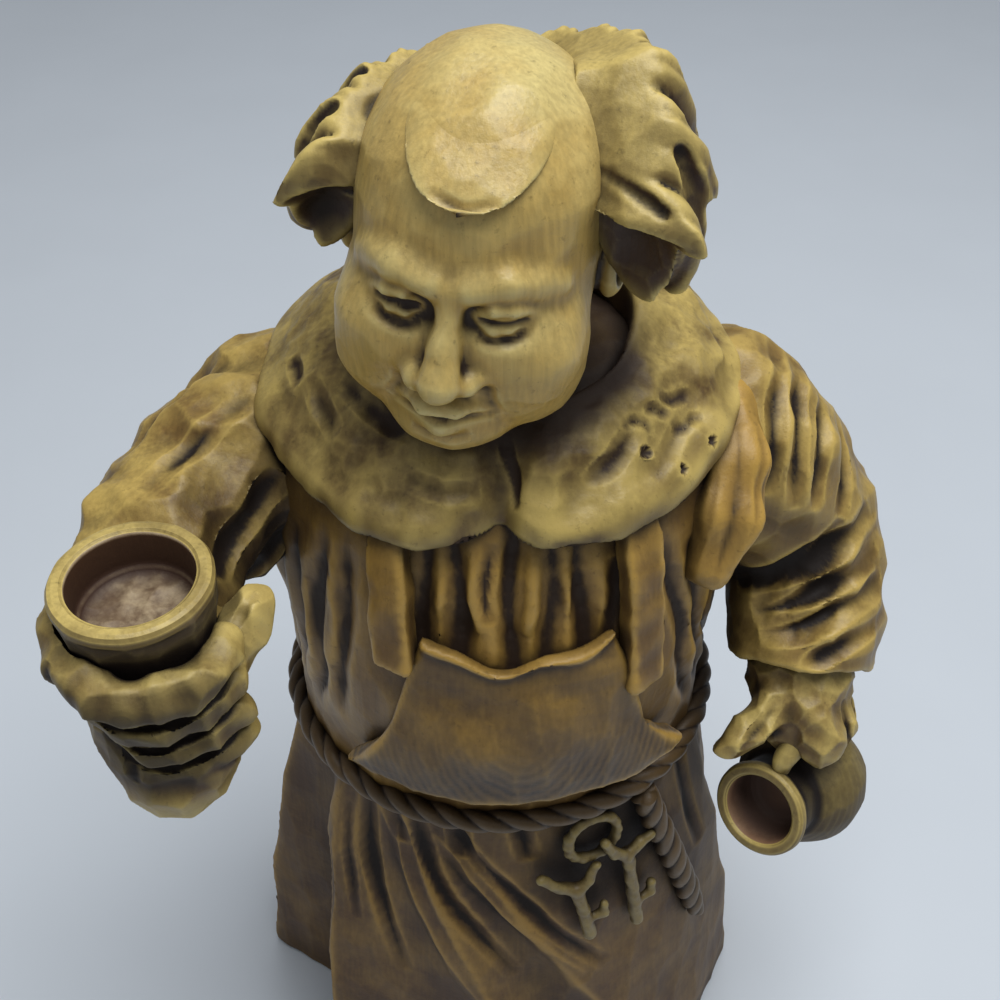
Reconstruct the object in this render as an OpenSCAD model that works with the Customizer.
// Carved limewood monk with a raised cup and a jug, facing -Y, standing on z = 0.
// The blank is built up: skirt, torso, head, arms and hands are glued on dowels,
// and the bib, straps, collar, hair, rope and keys are carved pieces glued on top.

/* [Habit] */
// Width of the hem on the table
hem_w = 114; // [108:1:118]
// Depth of the hem from front to back
hem_d = 98; // [94:1:102]
// Width of the body at the waist
waist_w = 82; // [80:1:84]
// Reach of the belly in front of the middle axis
belly_reach = 45; // [44:0.5:46]
// How far the crest of a skirt fold stands out at the hem
fold_crest = 3; // [2:0.5:4]
// Depth of the deepest hollow between two folds at the hem
fold_depth = 17; // [12:1:18]

/* [Bib and straps] */
// Thickness of the bib at its top edge
bib_thick = 2.4; // [2:0.2:3]
// How far the free lower edge of the bib stands out from the body
bib_flare = 5.5; // [4.5:0.5:6.5]
// Width of a shoulder strap
strap_w = 6; // [5:0.5:7]
// Thickness of a shoulder strap
strap_thick = 2.2; // [1.8:0.2:2.6]

/* [Hood collar] */
// Width of the collar over the shoulders
collar_w = 80; // [78:1:82]
// Thickness of the collar's edge
collar_thick = 3.6; // [3:0.2:4]

/* [Head] */
// Width of the skull
head_w = 35; // [34:0.5:36]
// Depth of the skull from brow to back
head_d = 43; // [42:0.5:44]
// Height from chin to crown
head_h = 51; // [50:0.5:52]
// How far the face looks down, in degrees
head_nod = 3; // [0:1:6]
// How far the face turns to the cup, in degrees
head_turn = 11; // [6:1:14]
// How far the head leans to the jug, in degrees
head_lean = 5; // [3:1:7]

/* [Hair] */
// How far the hair at the sides stands out from the skull, without the tips of its locks
hair_out = 11.5; // [10:0.5:12.5]
// Width of the forelock on the brow
forelock_w = 21; // [19:1:23]

/* [Arms] */
// Diameter of a sleeve at the shoulder
sleeve_d = 36; // [34:0.5:37]
// Diameter of the jug arm's cuff
cuff_d = 27; // [25:0.5:28]

/* [Cup] */
// Outer diameter of the cup's rim
cup_d = 22.4; // [22:0.2:23]
// Diameter of the cup's mouth
cup_mouth_d = 17.2; // [16.4:0.2:17.6]
// Depth of the cup's hollow
cup_depth = 7; // [6:0.5:8]

/* [Jug] */
// Diameter of the jug's belly
jug_d = 26; // [25:0.5:27]
// Outer diameter of the jug's rim
jug_rim_d = 19; // [18.4:0.2:19.6]
// Diameter of the jug's mouth
jug_mouth_d = 14; // [13.4:0.2:14.4]
// Depth of the jug's hollow
jug_depth = 10; // [9:0.5:11]

/* [Rope and keys] */
// Diameter of the rope girdle
rope_d = 5.4; // [5:0.2:6]
// Length of the longer key from bow to tip
key_len = 30; // [28:1:32]

/* [Joinery] */
// Diameter of the dowel between skirt and torso
waist_dowel_d = 14; // [12:1:16]
// Diameter of the dowel in the neck
neck_dowel_d = 10; // [8:1:12]
// Diameter of the dowel in each shoulder
arm_dowel_d = 10; // [8:1:12]
// Diameter of the dowel in each wrist
wrist_dowel_d = 5; // [4:0.5:6]
// Diameter of the pegs that hold the cup and the jug
peg_d = 4; // [3:0.5:5]

/* [Hidden] */
$fn = 48;

straw = "#b7a463";
ochre = "#9c7c42";
walnut = "#6e5433";
umber = "#54412c";

// Heights of the glued joint at the waist and of the flat top of the torso
waist_z = 112;
neck_z = 197;
// Flat seat of each arm on the torso: its middle, and its lean from upright in degrees
seat = [38, 1, 173];
seat_lean = 11;
// Block that clears the space on one side of a seat
seat_block = [140, 140, 60];
// Clearance behind a glued overlay
glue_line = 0.3;
// Points from one fold of the skirt to the next, round a limb and round a finger
fold_sides = 8;
limb_sides = 24;
finger_sides = 8;
// Thickness of the drums that a limb is drawn through
drum_h = 0.4;

// Height, half width, reach to the front and reach to the back of the habit
habit_keys = [
    [0, hem_w / 2, hem_d * 0.53, hem_d * 0.47],
    [40, hem_w * 0.47, hem_d * 0.485, hem_d * 0.43],
    [80, waist_w * 0.58, hem_d * 0.43, 38],
    [waist_z, waist_w / 2, 38.5, 34],
    [128, waist_w / 2, belly_reach - 3, 34],
    [143, waist_w / 2, belly_reach, 35],
    [160, 42, 42, 35.5],
    [176, 41, 38.5, 34],
    [186, 38.5, 33.5, 30],
    [192, 32.5, 26.5, 25],
    [neck_z, 22, 17, 19]
];

// Crests of the skirt's folds in turn: angle from the front at the waist, angle at the hem,
// and the share of the full depth to which the cloth falls back before the next crest
folds = [
    [-78, -86, 1],
    [-50, -40, 0.4],
    [-31, 18, 0.35],
    [-17, 46, 0.15],
    [66, 84, 0.35],
    [104, 116, 0.35],
    [146, 150, 0.3],
    [184, 184, 0.3],
    [222, 214, 0.3],
    [256, 246, 0.35]
];
// How early a crest takes its way to the hem, how early a fold gains depth, and how round it is
fold_sweep = 0.8;
fold_gain = 0.6;
fold_round = 0.8;

// Pleats of the upper body in turn: angle from the front at the waist and at the neck,
// heights of the lower and of the upper end, and depth; plain cloth has no depth
pleats = [
    [-76, -62, 122, 166, 1.4],
    [-69.8, -47.3, 122, 174, 1.8],
    [-60.2, -38.7, 126, 178, 2],
    [-50, -30.8, 134, 180, 1.8],
    [-34, -24, 0, 0, 0],
    [-17, -17, 157, 186, 1.7],
    [-9.5, -9.5, 157, 187, 1.8],
    [2, 3, 156, 188, 2.2],
    [11.3, 11.3, 156, 187, 1.6],
    [18.3, 18.3, 156, 186, 1.8],
    [42, 24, 0, 0, 0],
    [67.4, 30, 122, 178, 1.9],
    [78, 35.5, 120, 174, 1.8],
    [86, 43, 120, 166, 1.5],
    [100, 100, 114, 172, 1.8],
    [120, 120, 114, 172, 1.8],
    [140, 140, 114, 172, 1.8],
    [160, 160, 114, 172, 1.8],
    [180, 180, 114, 172, 1.8],
    [200, 200, 114, 172, 1.8],
    [220, 220, 114, 172, 1.8],
    [240, 240, 114, 172, 1.8],
    [260, 260, 114, 172, 1.8]
];
// Half width of a pleat in degrees, its largest share of the way to the next one,
// and the height over which its ends run out
pleat_half = 4;
pleat_share = 0.42;
pleat_run_out = 9;

// Height, middle, half width and half depth of the head, in its own frame
head_keys = [
    [-0.5 * head_h, -0.38 * head_d, 0.10 * head_w, 0.07 * head_d],
    [-0.46 * head_h, -0.33 * head_d, 0.30 * head_w, 0.17 * head_d],
    [-0.38 * head_h, -0.25 * head_d, 0.44 * head_w, 0.27 * head_d],
    [-0.25 * head_h, -0.15 * head_d, 0.50 * head_w, 0.37 * head_d],
    [-0.09 * head_h, -0.08 * head_d, 0.50 * head_w, 0.43 * head_d],
    [0.09 * head_h, -0.02 * head_d, 0.5 * head_w, 0.48 * head_d],
    [0.25 * head_h, 0.02 * head_d, 0.5 * head_w, 0.5 * head_d],
    [0.38 * head_h, 0.04 * head_d, 0.43 * head_w, 0.43 * head_d],
    [0.46 * head_h, 0.04 * head_d, 0.29 * head_w, 0.29 * head_d],
    [0.5 * head_h, 0.04 * head_d, 0.10 * head_w, 0.10 * head_d]
];
head_pos = [-2.5, -17, 225.5];
// Middle of the neck
neck = [-1, -7];

// Middle line and radius of each sleeve, from the flat seat to the cuff
right_arm = [
    [-seat[0], seat[1], seat[2], sleeve_d / 2],
    [-44, -8, 173, sleeve_d / 2 - 1.5],
    [-52, -18, 171, 15],
    [-56, -29, 169, 13.5],
    [-53.5, -40, 168, 11.5]
];
left_arm = [
    [seat[0], seat[1], seat[2], sleeve_d / 2],
    [43.5, 1, 168.5, sleeve_d / 2 - 1.2],
    [51, 2, 158.5, 15.6],
    [57, 1.5, 148, 14.8],
    [58.5, -6, 138, cuff_d / 2 + 1],
    [57.5, -14, 128, cuff_d / 2]
];

// The cup stands upright: middle of its rim, height of the cup and radius of its foot
cup_rim = [-49, -55, 195];
cup_h = 24;
cup_foot_r = 6.5;
// Broken edge of a rim
rim_chamfer = 0.8;

// The jug: middle of its belly, tilt from upright and heading of its mouth, in degrees
jug_pos = [61.5, -21, 99.7];
jug_tilt = 69;
jug_heading = -134;
jug_neck_r = 8.4;
jug_len = 18;

// Smooth curve through b and c, shaped by the rows before and after them
function glide(a, b, c, d, t) =
    b + 0.5 * t * (c - a + t * (2 * a - 5 * b + 4 * c - d + t * (3 * (b - c) + d - a)));
function between(rows, i, t) =
    glide(rows[max(i - 1, 0)], rows[i], rows[i + 1], rows[min(i + 2, len(rows) - 1)], t);
// Row of a table whose first column is a height
function row_below(rows, z, i = 0) =
    i >= len(rows) - 2 || z <= rows[i + 1][0] ? i : row_below(rows, z, i + 1);
function at_height(rows, z) =
    let (i = row_below(rows, z))
    between(rows, i, (z - rows[i][0]) / (rows[i + 1][0] - rows[i][0]));
// Evenly spaced rows along a path
function route(rows, steps) = [
    for (k = [0:steps])
    let (u = k / steps * (len(rows) - 1), i = min(floor(u), len(rows) - 2))
    between(rows, i, u - i)
];
function mix(a, b, t) = a + (b - a) * t;
function unit(v) = v / norm(v);
function place(p) = [p[0], p[1], p[2]];
function middle(ring) = [for (p = ring) 1] * ring / len(ring);
// A smooth hill one unit high and about two widths across
function hill(x, width) = exp(-pow(x / width, 2));

// Rings square to a path of rows [x, y, z, radius]; up sets where each ring starts
function tube_rings(path, sides, up) = [
    for (i = [0:len(path) - 1])
    let (
        ahead = unit(place(path[min(i + 1, len(path) - 1)]) - place(path[max(i - 1, 0)])),
        across = unit(cross(up, ahead)),
        rise = cross(ahead, across)
    )
    [for (k = [0:sides - 1])
        let (a = 360 * k / sides)
        place(path[i]) + path[i][3] * (cos(a) * across + sin(a) * rise)]
];

function quad(a, b, c, d) = [[a, b, c], [a, c, d]];

// Closed skin over a stack of rings, with a fan to the middle of each end ring
module skin(rings) {
    n = len(rings[0]);
    m = len(rings);
    sides = [
        for (j = [0:m - 2], i = [0:n - 1])
        let (k = (i + 1) % n)
        each quad(j * n + i, (j + 1) * n + i, (j + 1) * n + k, j * n + k)
    ];
    caps = [
        for (i = [0:n - 1])
        let (k = (i + 1) % n)
        each [[m * n, i, k], [m * n + 1, (m - 1) * n + k, (m - 1) * n + i]]
    ];
    points = concat([for (r = rings) each r], [middle(rings[0]), middle(rings[m - 1])]);
    polyhedron(points, concat(sides, caps));
}

// Closed band through a loop of closed sections
module band(sections) {
    n = len(sections[0]);
    m = len(sections);
    faces = [
        for (j = [0:m - 1], i = [0:n - 1])
        let (k = (i + 1) % n, h = (j + 1) % m)
        each quad(j * n + i, h * n + i, h * n + k, j * n + k)
    ];
    polyhedron([for (s = sections) each s], faces);
}

// Curved plate between an outer and an inner grid of points, rows upward, columns to +X
module plate(outer, inner) {
    n = len(outer[0]);
    m = len(outer);
    back = m * n;
    top = (m - 1) * n;
    faces = concat(
        [for (j = [0:m - 2], i = [0:n - 2])
            let (a = j * n + i)
            each concat(
                quad(a, a + n, a + n + 1, a + 1),
                quad(back + a, back + a + 1, back + a + n + 1, back + a + n))],
        [for (i = [0:n - 2])
            each concat(
                quad(i, i + 1, back + i + 1, back + i),
                quad(top + i + 1, top + i, back + top + i, back + top + i + 1))],
        [for (j = [0:m - 2])
            let (l = j * n, r = j * n + n - 1)
            each concat(
                quad(l + n, l, back + l, back + l + n),
                quad(r, r + n, back + r + n, back + r))]
    );
    polyhedron(concat([for (r = outer) each r], [for (r = inner) each r]), faces);
}

// A carved surface: what is inside becomes one skin of flat facets
module carved() {
    resize([0, 0, 0]) children();
}

// How far the folds stand out at an angle from the front (towards +X) and a height
function crest_angle(i, fall) =
    i < len(folds) ? mix(folds[i][0], folds[i][1], pow(fall, fold_sweep)) : crest_angle(0, fall) + 360;
function fold_at(a, z) =
    z >= waist_z ? 0
    : let (
        fall = 1 - z / waist_z,
        b = a - 360 * floor((a - crest_angle(0, fall)) / 360),
        i = max([for (j = [0:len(folds) - 1]) crest_angle(j, fall) <= b ? j : 0]),
        start = crest_angle(i, fall),
        end = crest_angle(i + 1, fall),
        back = pow(0.5 - 0.5 * cos(360 * (b - start) / (end - start)), fold_round)
    )
    pow(fall, fold_gain) * (fold_crest - fold_depth * folds[i][2] * back);
// Habit surface at an angle and a height, moved out by off
function habit_at(a, z, off = 0) =
    let (
        k = at_height(habit_keys, z),
        reach = cos(a) > 0 ? k[2] : k[3],
        out = off + fold_at(a, z)
    )
    [(k[1] + out) * sin(a), -(reach + out) * cos(a), z];
// Angle and depth of a pleat at a height
function pleat_angle(i, z) =
    i == len(pleats) ? pleat_angle(0, z) + 360
    : mix(pleats[i][0], pleats[i][1], (z - waist_z) / (neck_z - waist_z));
function pleat_depth(i, z) =
    pleats[i][4] * max(0, min(1, (z - pleats[i][2]) / pleat_run_out, (pleats[i][3] - z) / pleat_run_out));
// Ring of the torso, whose points keep to the pleats and to the crests between them
function torso_ring(z, carve) = [
    for (i = [0:len(pleats) - 1])
    let (
        a = pleat_angle(i, z),
        before = a - (i > 0 ? pleat_angle(i - 1, z) : pleat_angle(len(pleats) - 1, z) - 360),
        after = pleat_angle(i + 1, z) - a
    )
    each [
        habit_at(a - min(pleat_half, pleat_share * before), z),
        habit_at(a, z, -carve * pleat_depth(i, z)),
        habit_at(a + min(pleat_half, pleat_share * after), z),
        habit_at(a + after / 2, z)
    ]
];
// Ring of the skirt, whose points keep to the crests and hollows of the folds
function skirt_ring(z) = [
    for (i = [0:len(folds) - 1], k = [0:fold_sides - 1])
    let (fall = 1 - z / waist_z)
    habit_at(mix(crest_angle(i, fall), crest_angle(i + 1, fall), k / fold_sides), z)
];

module skirt_form() {
    steps = 18;
    skin([for (j = [0:steps]) skirt_ring(waist_z * j / steps)]);
}

// Frame of an arm's seat: z points away from the body, square to the seat
module on_seat(side) {
    translate([side * seat[0], seat[1], seat[2]]) rotate([0, side * (90 - seat_lean), 0]) children();
}

// The space outside a seat (way 1) or inside it (way -1)
module past_seat(side, way) {
    on_seat(side) translate([0, 0, way * seat_block[2] / 2]) cube(seat_block, center = true);
}

// The torso, plain as the overlays see it (carve 0) or with its pleats cut (carve 1)
module torso_form(carve = 0) {
    steps = 20;
    difference() {
        skin([for (j = [0:steps]) torso_ring(mix(waist_z, neck_z, j / steps), carve)]);
        past_seat(-1, 1);
        past_seat(1, 1);
    }
}

module habit_skirt() {
    color(umber)
    difference() {
        skirt_form();
        waist_pin();
    }
}

module habit_torso() {
    color(walnut)
    difference() {
        carved() torso_form(1);
        waist_pin();
        neck_pin();
        shoulder_pin(-1);
        shoulder_pin(1);
    }
}

// Dowels, each half in one piece and half in the other
module waist_pin() {
    reach = 18;
    translate([0, 0, waist_z - reach]) cylinder(d = waist_dowel_d, h = 2 * reach);
}

module neck_pin() {
    reach = 14;
    translate([neck[0], neck[1], neck_z - reach]) cylinder(d = neck_dowel_d, h = 2 * reach);
}

module shoulder_pin(side) {
    reach = 12;
    on_seat(side) cylinder(d = arm_dowel_d, h = 2 * reach, center = true);
}

// A peg from one point to another
module pin_between(from, to, d) {
    run = to - from;
    translate(from)
        rotate([0, acos(run[2] / norm(run)), atan2(run[1], run[0])])
            cylinder(d = d, h = norm(run));
}

module right_wrist_pin() {
    pin_between([-55, -31, 169], [-51.5, -49.5, 166.5], wrist_dowel_d);
}

module left_wrist_pin() {
    pin_between([58, -10, 133], [57.1, -19, 123.5], wrist_dowel_d);
}

module cup_pin() {
    pin_between([-49, -55, 158], [-49, -55, 180], peg_d);
}

module jug_pin() {
    pin_between([57.5, -20.5, 120], [58.5, -22, 102], peg_d);
}

module waist_dowel() {
    color(straw) waist_pin();
}

module neck_dowel() {
    color(straw) neck_pin();
}

module right_shoulder_dowel() {
    color(straw) shoulder_pin(-1);
}

module left_shoulder_dowel() {
    color(straw) shoulder_pin(1);
}

module right_wrist_dowel() {
    color(straw) right_wrist_pin();
}

module left_wrist_dowel() {
    color(straw) left_wrist_pin();
}

module cup_peg() {
    color(straw) cup_pin();
}

module jug_peg() {
    color(straw) jug_pin();
}

// Head, in its own frame: z from chin to crown, face to -Y
function head_at(a, z, off = 0) =
    let (k = at_height(head_keys, z))
    [(k[2] + off) * sin(a), k[1] - (k[3] + off) * cos(a), z];

module on_head() {
    translate(head_pos) rotate([head_nod, head_lean, -head_turn]) children();
}

module skull() {
    sides = 36;
    steps = 22;
    skin([
        for (j = [0:steps])
        let (z = -0.5 * head_h * cos(180 * j / steps))
        [for (i = [0:sides - 1]) head_at(360 * i / sides, z)]
    ]);
}

module nose() {
    bridge = head_at(0, 0.03 * head_h);
    tip = head_at(0, -0.13 * head_h, 4.5);
    hull($fn = 24) {
        translate(bridge) sphere(r = 2);
        translate(tip) sphere(r = 3.2);
        for (side = [-1, 1])
            translate(head_at(side * 9, -0.16 * head_h, 1)) sphere(r = 2.3);
    }
}

module ear(side) {
    hull($fn = 20) {
        translate(head_at(side * 95, 0.03 * head_h, 1.2)) sphere(r = 3.4);
        translate(head_at(side * 90, -0.12 * head_h, 0.6)) sphere(r = 2.4);
    }
}

module head_form() {
    on_head() {
        skull();
        nose();
        ear(-1);
        ear(1);
    }
    translate([neck[0], neck[1], neck_z]) cylinder(r = 12.5, h = 16, $fn = 32);
}

module head() {
    color(ochre)
    difference() {
        carved() difference() {
            head_form();
            torso_form();
        }
        neck_pin();
    }
}

// Hair: a horseshoe of locks from temple to temple round the back of the head
module hair_form() {
    // Angle of each end from the back, and the run over which an end tapers
    end = 116;
    taper_run = 14;
    // Angle at which the hair starts to fill out to the sides, and its half thickness before that
    fill_from = 45;
    back_thick = 4.8;
    // Middle height and half height at the back and at the sides
    back_mid = 1;
    back_high = 14;
    side_mid = 8.5;
    side_high = 12.5;
    // How far the roots lie in the skull, and how much further out each mm below the middle lies
    bedded = 3;
    flare = 0.22;
    // How much higher the hair is behind the jug side, at what angle from the face it is highest,
    // and by what share it is fuller on the jug side
    higher = 4;
    high_at = 140;
    fuller = 0.14;
    // Two rows of locks, half a lock apart: angle from one lock to the next, how far a lock is swept
    // to the back on its way down, and the shares by which it swells and its tip flicks out
    pitch = 20;
    sweep = 16;
    swell = 0.2;
    flick = 0.1;
    // Places round a section of the wreath, from its top outward, downward and back inside the skull
    places = [0, 20, 38, 54, 68, 80, 92, 104, 118, 134, 152, 176, 220, 270, 315];
    steps = 58;
    // Share by which the locks stand out of the plain wreath
    function lock(turn, b) =
        let (way = 360 * (turn + sweep * sin(turn) * b / 180) / pitch)
        swell * cos(way) * (hill(b - 54, 32) - hill(b - 124, 28))
        + flick * (hill(b - 72, 18) - hill(b - 100, 14));
    skin([
        for (j = [0:steps])
        let (
            turn = mix(-end, end, j / steps),
            a = 180 + turn,
            side = pow(sin(turn), 2),
            fill = max(0, abs(turn) - fill_from) / (end - fill_from),
            taper = sqrt(min(1, (end + 2 - abs(turn)) / taper_run)),
            full = taper * (1 + fuller * sin(a)),
            thick = mix(back_thick, (hair_out + bedded) / 2, fill) * full,
            high = mix(back_high, side_high, side) * full,
            base = head_at(a, mix(back_mid, side_mid, side) + higher * cos(a - high_at), thick - bedded)
        )
        [for (b = places)
            let (out = thick * sin(b) - flare * high * cos(b))
            base + (1 + lock(turn, b)) * [out * sin(a), -out * cos(a), high * cos(b)]]
    ]);
}

module hair_wreath() {
    color(straw)
    carved() difference() {
        on_head() hair_form();
        head_form();
    }
}

// Forelock: a tongue of hair that lies on the brow and ends in a round lip
module forelock_form() {
    columns = 12;
    rows = 6;
    // Heights of the lip at its middle and at its ends, and of the root
    low = 0.28 * head_h;
    corner = 0.39 * head_h;
    high = 0.45 * head_h;
    lift = 2;
    bedded = -2.5;
    spread = forelock_w / (head_d / 2) * 180 / PI * 1.1;
    function lip_z(u) = mix(low, corner, pow(abs(2 * u - 1), 2.5));
    function grid(off) = [
        for (j = [0:rows])
        [for (i = [0:columns])
            let (u = i / columns, v = j / rows)
            head_at(mix(-spread / 2, spread / 2, u), mix(lip_z(u), high, v), off * (1 - v) + glue_line)]
    ];
    plate(grid(lift), grid(bedded));
}

module forelock() {
    color(straw)
    carved() difference() {
        on_head() forelock_form();
        on_head() skull();
    }
}

// Hood collar: two round lapels that meet in a notch at the front
module collar_form() {
    sides = 48;
    // Half width, half depth and middle of the neck opening
    neck_w = 21;
    neck_d = 20;
    neck_y = -6;
    // Reach and height of the free edge, and height of the opening, at the front and at the back
    reach = [39.5, 36];
    foot = [186.5, 194];
    crest = [201, 206];
    // Thickness at the neck, rise of the middle, and how far the free edge is undercut
    deep = 9;
    rise = 1.6;
    undercut = 1.5;
    notch = 0.13;
    lapel = 0.05;
    function edge(a) = 1 - notch * hill(a, 7) + lapel * hill(abs(a) - 24, 13);
    band([
        for (i = [0:sides - 1])
        let (
            a = 360 * i / sides,
            f = a > 180 ? a - 360 : a,
            out = edge(f),
            back = 0.5 - 0.5 * cos(a),
            low = mix(foot[0], foot[1], back),
            high = mix(crest[0], crest[1], back),
            heading = [sin(a), -cos(a), 0],
            inner = [neck_w * sin(a), neck_y - neck_d * cos(a), high],
            deep_y = cos(a) > 0 ? reach[0] : reach[1],
            outer = [collar_w / 2 * out * sin(a), -deep_y * out * cos(a), low],
            waist = mix(inner, outer, 0.5)
        )
        [
            inner,
            waist + [0, 0, rise],
            outer - heading + [0, 0, rise / 4],
            outer - [0, 0, collar_thick / 2],
            outer - [0, 0, collar_thick] - undercut * heading,
            waist - [0, 0, deep],
            inner - [0, 0, deep]
        ]
    ]);
}

module hood_collar() {
    color(straw)
    carved() difference() {
        collar_form();
        torso_form();
        head_form();
        sleeve_limb(right_arm);
        sleeve_limb(left_arm);
        on_head() hair_form();
        strap_form(right_strap_line);
        strap_form(left_strap_line);
    }
}

// Bib of the scapular, from a sagging top edge to a free lower edge
module bib_form() {
    columns = 20;
    rows = 9;
    top = 166;
    foot = 129;
    sag = 4;
    // Angles of the lower and upper corners on each side
    cup_side = [-39, -17];
    jug_side = [48, 25];
    function edge(side, v) = mix(side[0], side[1], pow(v, 0.7));
    function grid(off) = [
        for (j = [0:rows])
        [for (i = [0:columns])
            let (
                u = i / columns,
                v = j / rows,
                a = mix(edge(cup_side, v), edge(jug_side, v), u),
                z = mix(foot, top - sag * sin(180 * u), v)
            )
            habit_at(a, z, off[0] + off[1] * pow(1 - v, 2))]
    ];
    plate(grid([bib_thick, bib_flare - bib_thick]), grid([glue_line, 0]));
}

module scapular_bib() {
    color(walnut) carved() bib_form();
}

// Straps: angle and height of the upper end, then of the square lower end
right_strap_line = [[-24, 189], [-22, 160]];
left_strap_line = [[29, 189], [32, 153]];

module strap_form(line) {
    rows = 8;
    bedded = -1;
    half = strap_w / 2 / belly_reach * 180 / PI;
    function grid(off) = [
        for (j = [0:rows])
        [for (side = [-1, 1])
            let (
                v = j / rows,
                a = mix(line[1][0], line[0][0], v),
                z = mix(line[1][1], line[0][1], v)
            )
            habit_at(a + side * half, z, off)]
    ];
    plate(grid(bib_thick + strap_thick), grid(bedded));
}

module strap(line) {
    color(ochre)
    carved() difference() {
        strap_form(line);
        torso_form();
        bib_form();
    }
}

module right_strap() {
    strap(right_strap_line);
}

module left_strap() {
    strap(left_strap_line);
}

// A thin drum square to a path of rows [x, y, z, radius]
module drum(path, i) {
    run = place(path[min(i + 1, len(path) - 1)]) - place(path[max(i - 1, 0)]);
    translate(place(path[i]))
        rotate([0, acos(run[2] / norm(run)), atan2(run[1], run[0])])
            cylinder(r = path[i][3], h = drum_h, center = true, $fn = limb_sides);
}

// A limb: drums along a path, each joined to the next
module limb(path) {
    for (i = [0:len(path) - 2])
        hull() {
            drum(path, i);
            drum(path, i + 1);
        }
}

// A sleeve with its root still inside the body
module sleeve_limb(arm) {
    steps = 6;
    root = 6;
    start = arm[0] - [sign(arm[0][0]) * root, 0, 0, 0];
    limb(concat([start], route(arm, steps)));
}

// A sleeve, cut off flat at its seat
module sleeve_form(arm) {
    difference() {
        sleeve_limb(arm);
        past_seat(sign(arm[0][0]), -1);
    }
}

module right_sleeve() {
    color(ochre)
    difference() {
        carved() sleeve_form(right_arm);
        shoulder_pin(-1);
        right_wrist_pin();
    }
}

module left_sleeve() {
    color(walnut)
    difference() {
        carved() sleeve_form(left_arm);
        shoulder_pin(1);
        left_wrist_pin();
    }
}

// Long fold that falls from the jug shoulder to a round end beside the strap
module shoulder_fold() {
    steps = 7;
    path = route([
        [38, -7, 186, 4.6],
        [38, -15.5, 181, 5.6],
        [36.5, -22, 175, 5.8],
        [34.5, -26, 167.5, 4.4]
    ], steps);
    color(ochre)
    carved() difference() {
        limb(path);
        torso_form();
        sleeve_limb(left_arm);
        collar_form();
    }
}

// A finger or thumb along rows [x, y, z, radius]
module finger(path) {
    steps = 7;
    skin(tube_rings(route(path, steps), finger_sides, [0, 0, 1]));
}

// A palm from the wrist to the knuckles
module palm(path) {
    steps = 7;
    skin(tube_rings(route(path, steps), 2 * finger_sides, [0, 0, 1]));
}

// Fist round the foot of the cup: four fingers across the front, thumb to the inside
module right_hand_form() {
    wrist = place(right_arm[len(right_arm) - 1]);
    // Height of the upper finger, step down to the next, how far each is tucked in, and thickness
    first_z = 187;
    pitch = 6.6;
    tuck = 3;
    thick = 4.1;
    thinner = 0.2;
    palm([concat(wrist, [9.5]), [-52, -47, 169, 11.5], [-49, -55, 166, 12], [-48, -59, 160, 9]]);
    for (i = [0:3]) {
        z = first_z - pitch * i;
        in = tuck * i;
        r = thick - thinner * i;
        finger([
            [-60 + in, -50, z, r - 0.4],
            [-58.2 + in, -61, z - 0.5, r],
            [-50 + in / 3, -68.5 + in / 2, z - 1.5, r],
            [-40.5, -65 + in / 2, z - 2, r - 0.2],
            [-37.5, -58, z - 2, r - 0.8]
        ]);
    }
    finger([[-46, -55, 172, 4.4], [-41, -56, 176, 4.2], [-37, -52.5, 181, 3.8], [-34.5, -49, 184, 2.8]]);
}

module right_hand() {
    color(ochre)
    difference() {
        carved() difference() {
            right_hand_form();
            sleeve_form(right_arm);
        }
        cup_body();
        right_wrist_pin();
        cup_pin();
    }
}

// Cup: a turned beaker with a wide rim and a shallow hollow
module cup_body() {
    rim_r = cup_d / 2;
    waist_in = 1.4;
    translate(cup_rim - [0, 0, cup_h])
        rotate_extrude()
            polygon([
                [0, 0],
                [cup_foot_r, 0],
                [rim_r - waist_in, cup_h * 0.5],
                [rim_r, cup_h * 0.8],
                [rim_r, cup_h - rim_chamfer],
                [rim_r - rim_chamfer, cup_h],
                [0, cup_h]
            ]);
}

module cup() {
    color(straw)
    difference() {
        cup_body();
        translate(cup_rim - [0, 0, cup_depth]) cylinder(d = cup_mouth_d, h = cup_depth + 1);
        cup_pin();
    }
}

// Hand over the neck of the jug
module left_hand_form() {
    wrist = place(left_arm[len(left_arm) - 1]);
    palm([concat(wrist, [10]), [57.5, -18, 124, 9.8], [57.5, -20.5, 119.5, 8.2]]);
    // Thumb down the side of the neck, then the fingers over the handle and the belly
    finger([[52.5, -22, 127, 4.4], [47.5, -26.5, 124, 3.7], [42.5, -29, 121, 2.8]]);
    finger([[57, -22, 127, 4.8], [60, -26.5, 123.5, 4.6], [60.5, -28.5, 120, 3.9]]);
    finger([[61, -18.5, 126, 4.4], [64, -22.8, 121, 4.2], [64, -25, 117.8, 3.5]]);
    finger([[63, -15, 125, 4], [65.5, -19, 119.5, 3.8], [65, -21.5, 116, 3.2]]);
}

module left_hand() {
    color(ochre)
    difference() {
        carved() difference() {
            left_hand_form();
            sleeve_form(left_arm);
            jug_body();
            jug_handle_form();
        }
        left_wrist_pin();
        jug_pin();
    }
}

module on_jug() {
    translate(jug_pos) rotate([0, jug_tilt, jug_heading]) children();
}

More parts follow.
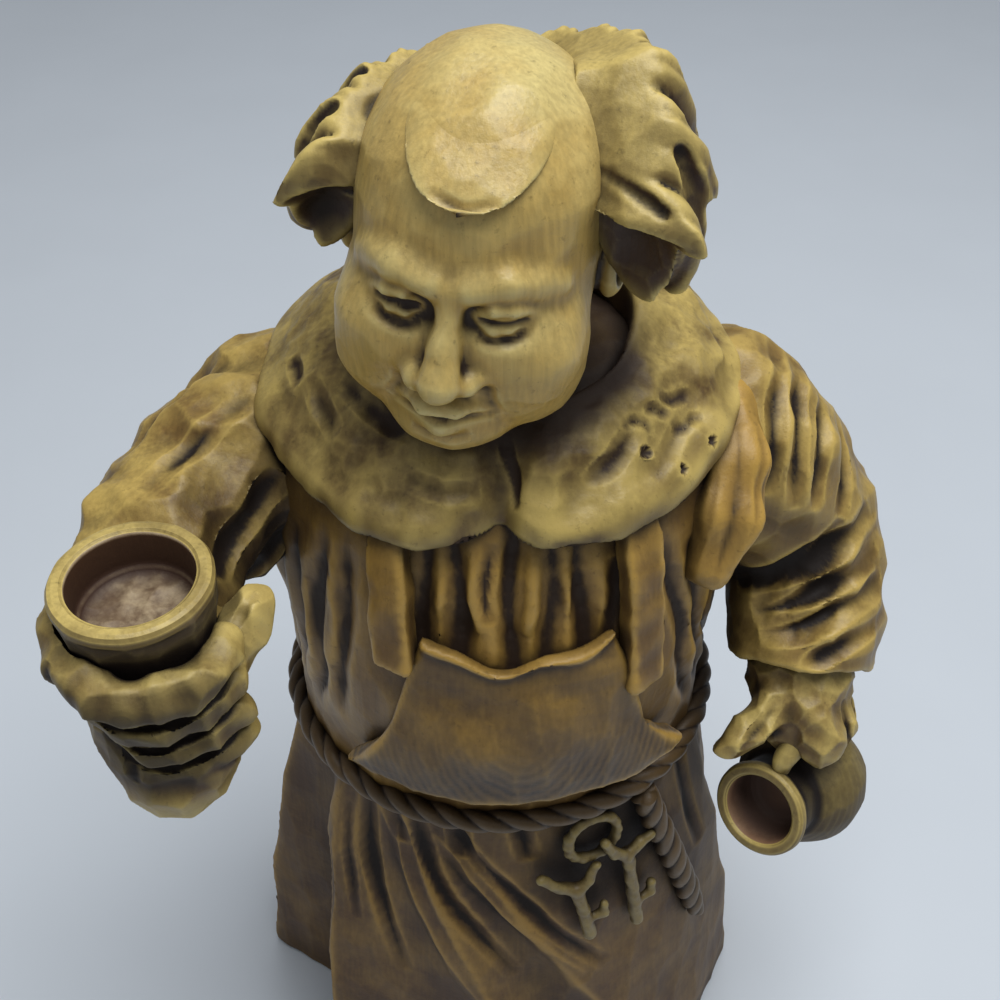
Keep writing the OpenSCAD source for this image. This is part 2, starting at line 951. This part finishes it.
// Jug: a round belly with a short neck and a rolled rim
module jug_body() {
    belly_r = jug_d / 2;
    rim_r = jug_rim_d / 2;
    // Angles on the belly's arc at which the foot and the neck start, and height of the rolled rim
    foot_a = -62;
    neck_a = acos(jug_neck_r / belly_r);
    roll_h = 4;
    roll_top = 2.6;
    arc_steps = 14;
    on_jug()
        rotate_extrude()
            polygon(concat(
                [[0, belly_r * sin(foot_a)]],
                [for (k = [0:arc_steps])
                    let (b = mix(foot_a, neck_a, k / arc_steps))
                    belly_r * [cos(b), sin(b)]],
                [
                    [jug_neck_r, jug_len - roll_h],
                    [rim_r, jug_len - roll_top],
                    [rim_r, jug_len - rim_chamfer],
                    [rim_r - rim_chamfer, jug_len],
                    [0, jug_len]
                ]
            ));
}

module jug() {
    color(ochre)
    difference() {
        jug_body();
        on_jug() translate([0, 0, jug_len - jug_depth]) cylinder(d = jug_mouth_d, h = jug_depth + 1);
        jug_pin();
        jug_handle_form();
    }
}

module jug_handle_form() {
    steps = 12;
    sides = 12;
    r = 2.3;
    // From the rim, up and back to the belly
    path = [[-8.2, 0, 15.5, r], [-13, 0, 15.5, r], [-17, 0, 11.5, r], [-17.5, 0, 3, r], [-11.5, 0, -4, r]];
    on_jug() skin(tube_rings(route(path, steps), sides, [0, 1, 0]));
}

module jug_handle() {
    color(straw) difference() {
        carved() jug_handle_form();
        jug_pin();
    }
}

// Rope round the waist, pressed into the line under the belly
module girdle_form() {
    steps = 40;
    sides = 8;
    r = rope_d / 2;
    pressed_in = 1.8;
    band([
        for (i = [0:steps - 1])
        let (a = 360 * i / steps, base = habit_at(a, waist_z, r - pressed_in))
        [for (k = [0:sides - 1])
            let (b = 360 * k / sides)
            base + r * (cos(b) * [0, 0, 1] + sin(b) * [sin(a), -cos(a), 0])]
    ]);
}

module rope_girdle() {
    color(walnut)
    carved() difference() {
        girdle_form();
        skirt_form();
        torso_form();
        jug_body();
    }
}

// Free end of the rope, hanging on the skirt in front of the jug
module rope_end() {
    r = rope_d / 2;
    // Angle on the skirt and height at the top and at the tip, and how far the rope is let in
    from = [40, 109];
    tip = [55, 58];
    let_in = 0.9;
    thinner = 0.35;
    steps = 12;
    sides = 10;
    path = [
        for (j = [0:steps])
        let (v = j / steps, at = mix(from, tip, v))
        concat(habit_at(at[0], at[1], r - let_in), [r * (1 - thinner * pow(v, 6))])
    ];
    color(walnut)
    carved() difference() {
        skin(tube_rings(path, sides, [1, 0, 0]));
        girdle_form();
        skirt_form();
        torso_form();
        jug_body();
    }
}

// Keys lie on the skirt: a ring of wire, a bow, a shank and a bit
module wire_ring(r, wire) {
    rotate([90, 0, 0])
        rotate_extrude($fn = 20)
            translate([r, 0]) circle(d = wire, $fn = 8);
}

module key_form(length) {
    wire = 2.6;
    bow_r = 3.6;
    tooth = [4.8, 2, 2.2];
    rises = [1.2, 5];
    translate([0, 0, -bow_r]) wire_ring(bow_r, wire);
    translate([0, 0, -length]) cylinder(d = wire, h = length - 2 * bow_r, $fn = 12);
    for (rise = rises)
        translate([tooth[0] / 2, 0, -length + rise]) cube(tooth, center = true);
}

// Hangs a thing on the skirt at an angle and height, swung sideways by swing
module on_skirt(a, z, off, swing) {
    lean = 8;
    translate(habit_at(a, z, off)) rotate([-lean, 0, a]) rotate([0, swing, 0]) children();
}

module key_ring_form() {
    ring_r = 5.4;
    wire = 2.2;
    on_skirt(24, 103, 1.4, 0) wire_ring(ring_r, wire);
}

module key_ring() {
    color(ochre)
    carved() difference() {
        key_ring_form();
        skirt_form();
        girdle_form();
    }
}

module long_key_form() {
    on_skirt(32, 102, 2.8, -5) key_form(key_len);
}

module long_key() {
    color(ochre)
    carved() difference() {
        long_key_form();
        key_ring_form();
        skirt_form();
    }
}

module short_key() {
    shorter = 7;
    color(ochre)
    carved() difference() {
        on_skirt(17, 98, 3, -10) key_form(key_len - shorter);
        key_ring_form();
        long_key_form();
        skirt_form();
    }
}

habit_skirt();
habit_torso();
waist_dowel();
head();
neck_dowel();
hair_wreath();
forelock();
hood_collar();
scapular_bib();
right_strap();
left_strap();
shoulder_fold();
right_sleeve();
right_shoulder_dowel();
right_hand();
right_wrist_dowel();
cup();
cup_peg();
left_sleeve();
left_shoulder_dowel();
left_hand();
left_wrist_dowel();
jug();
jug_handle();
jug_peg();
rope_girdle();
rope_end();
key_ring();
long_key();
short_key();
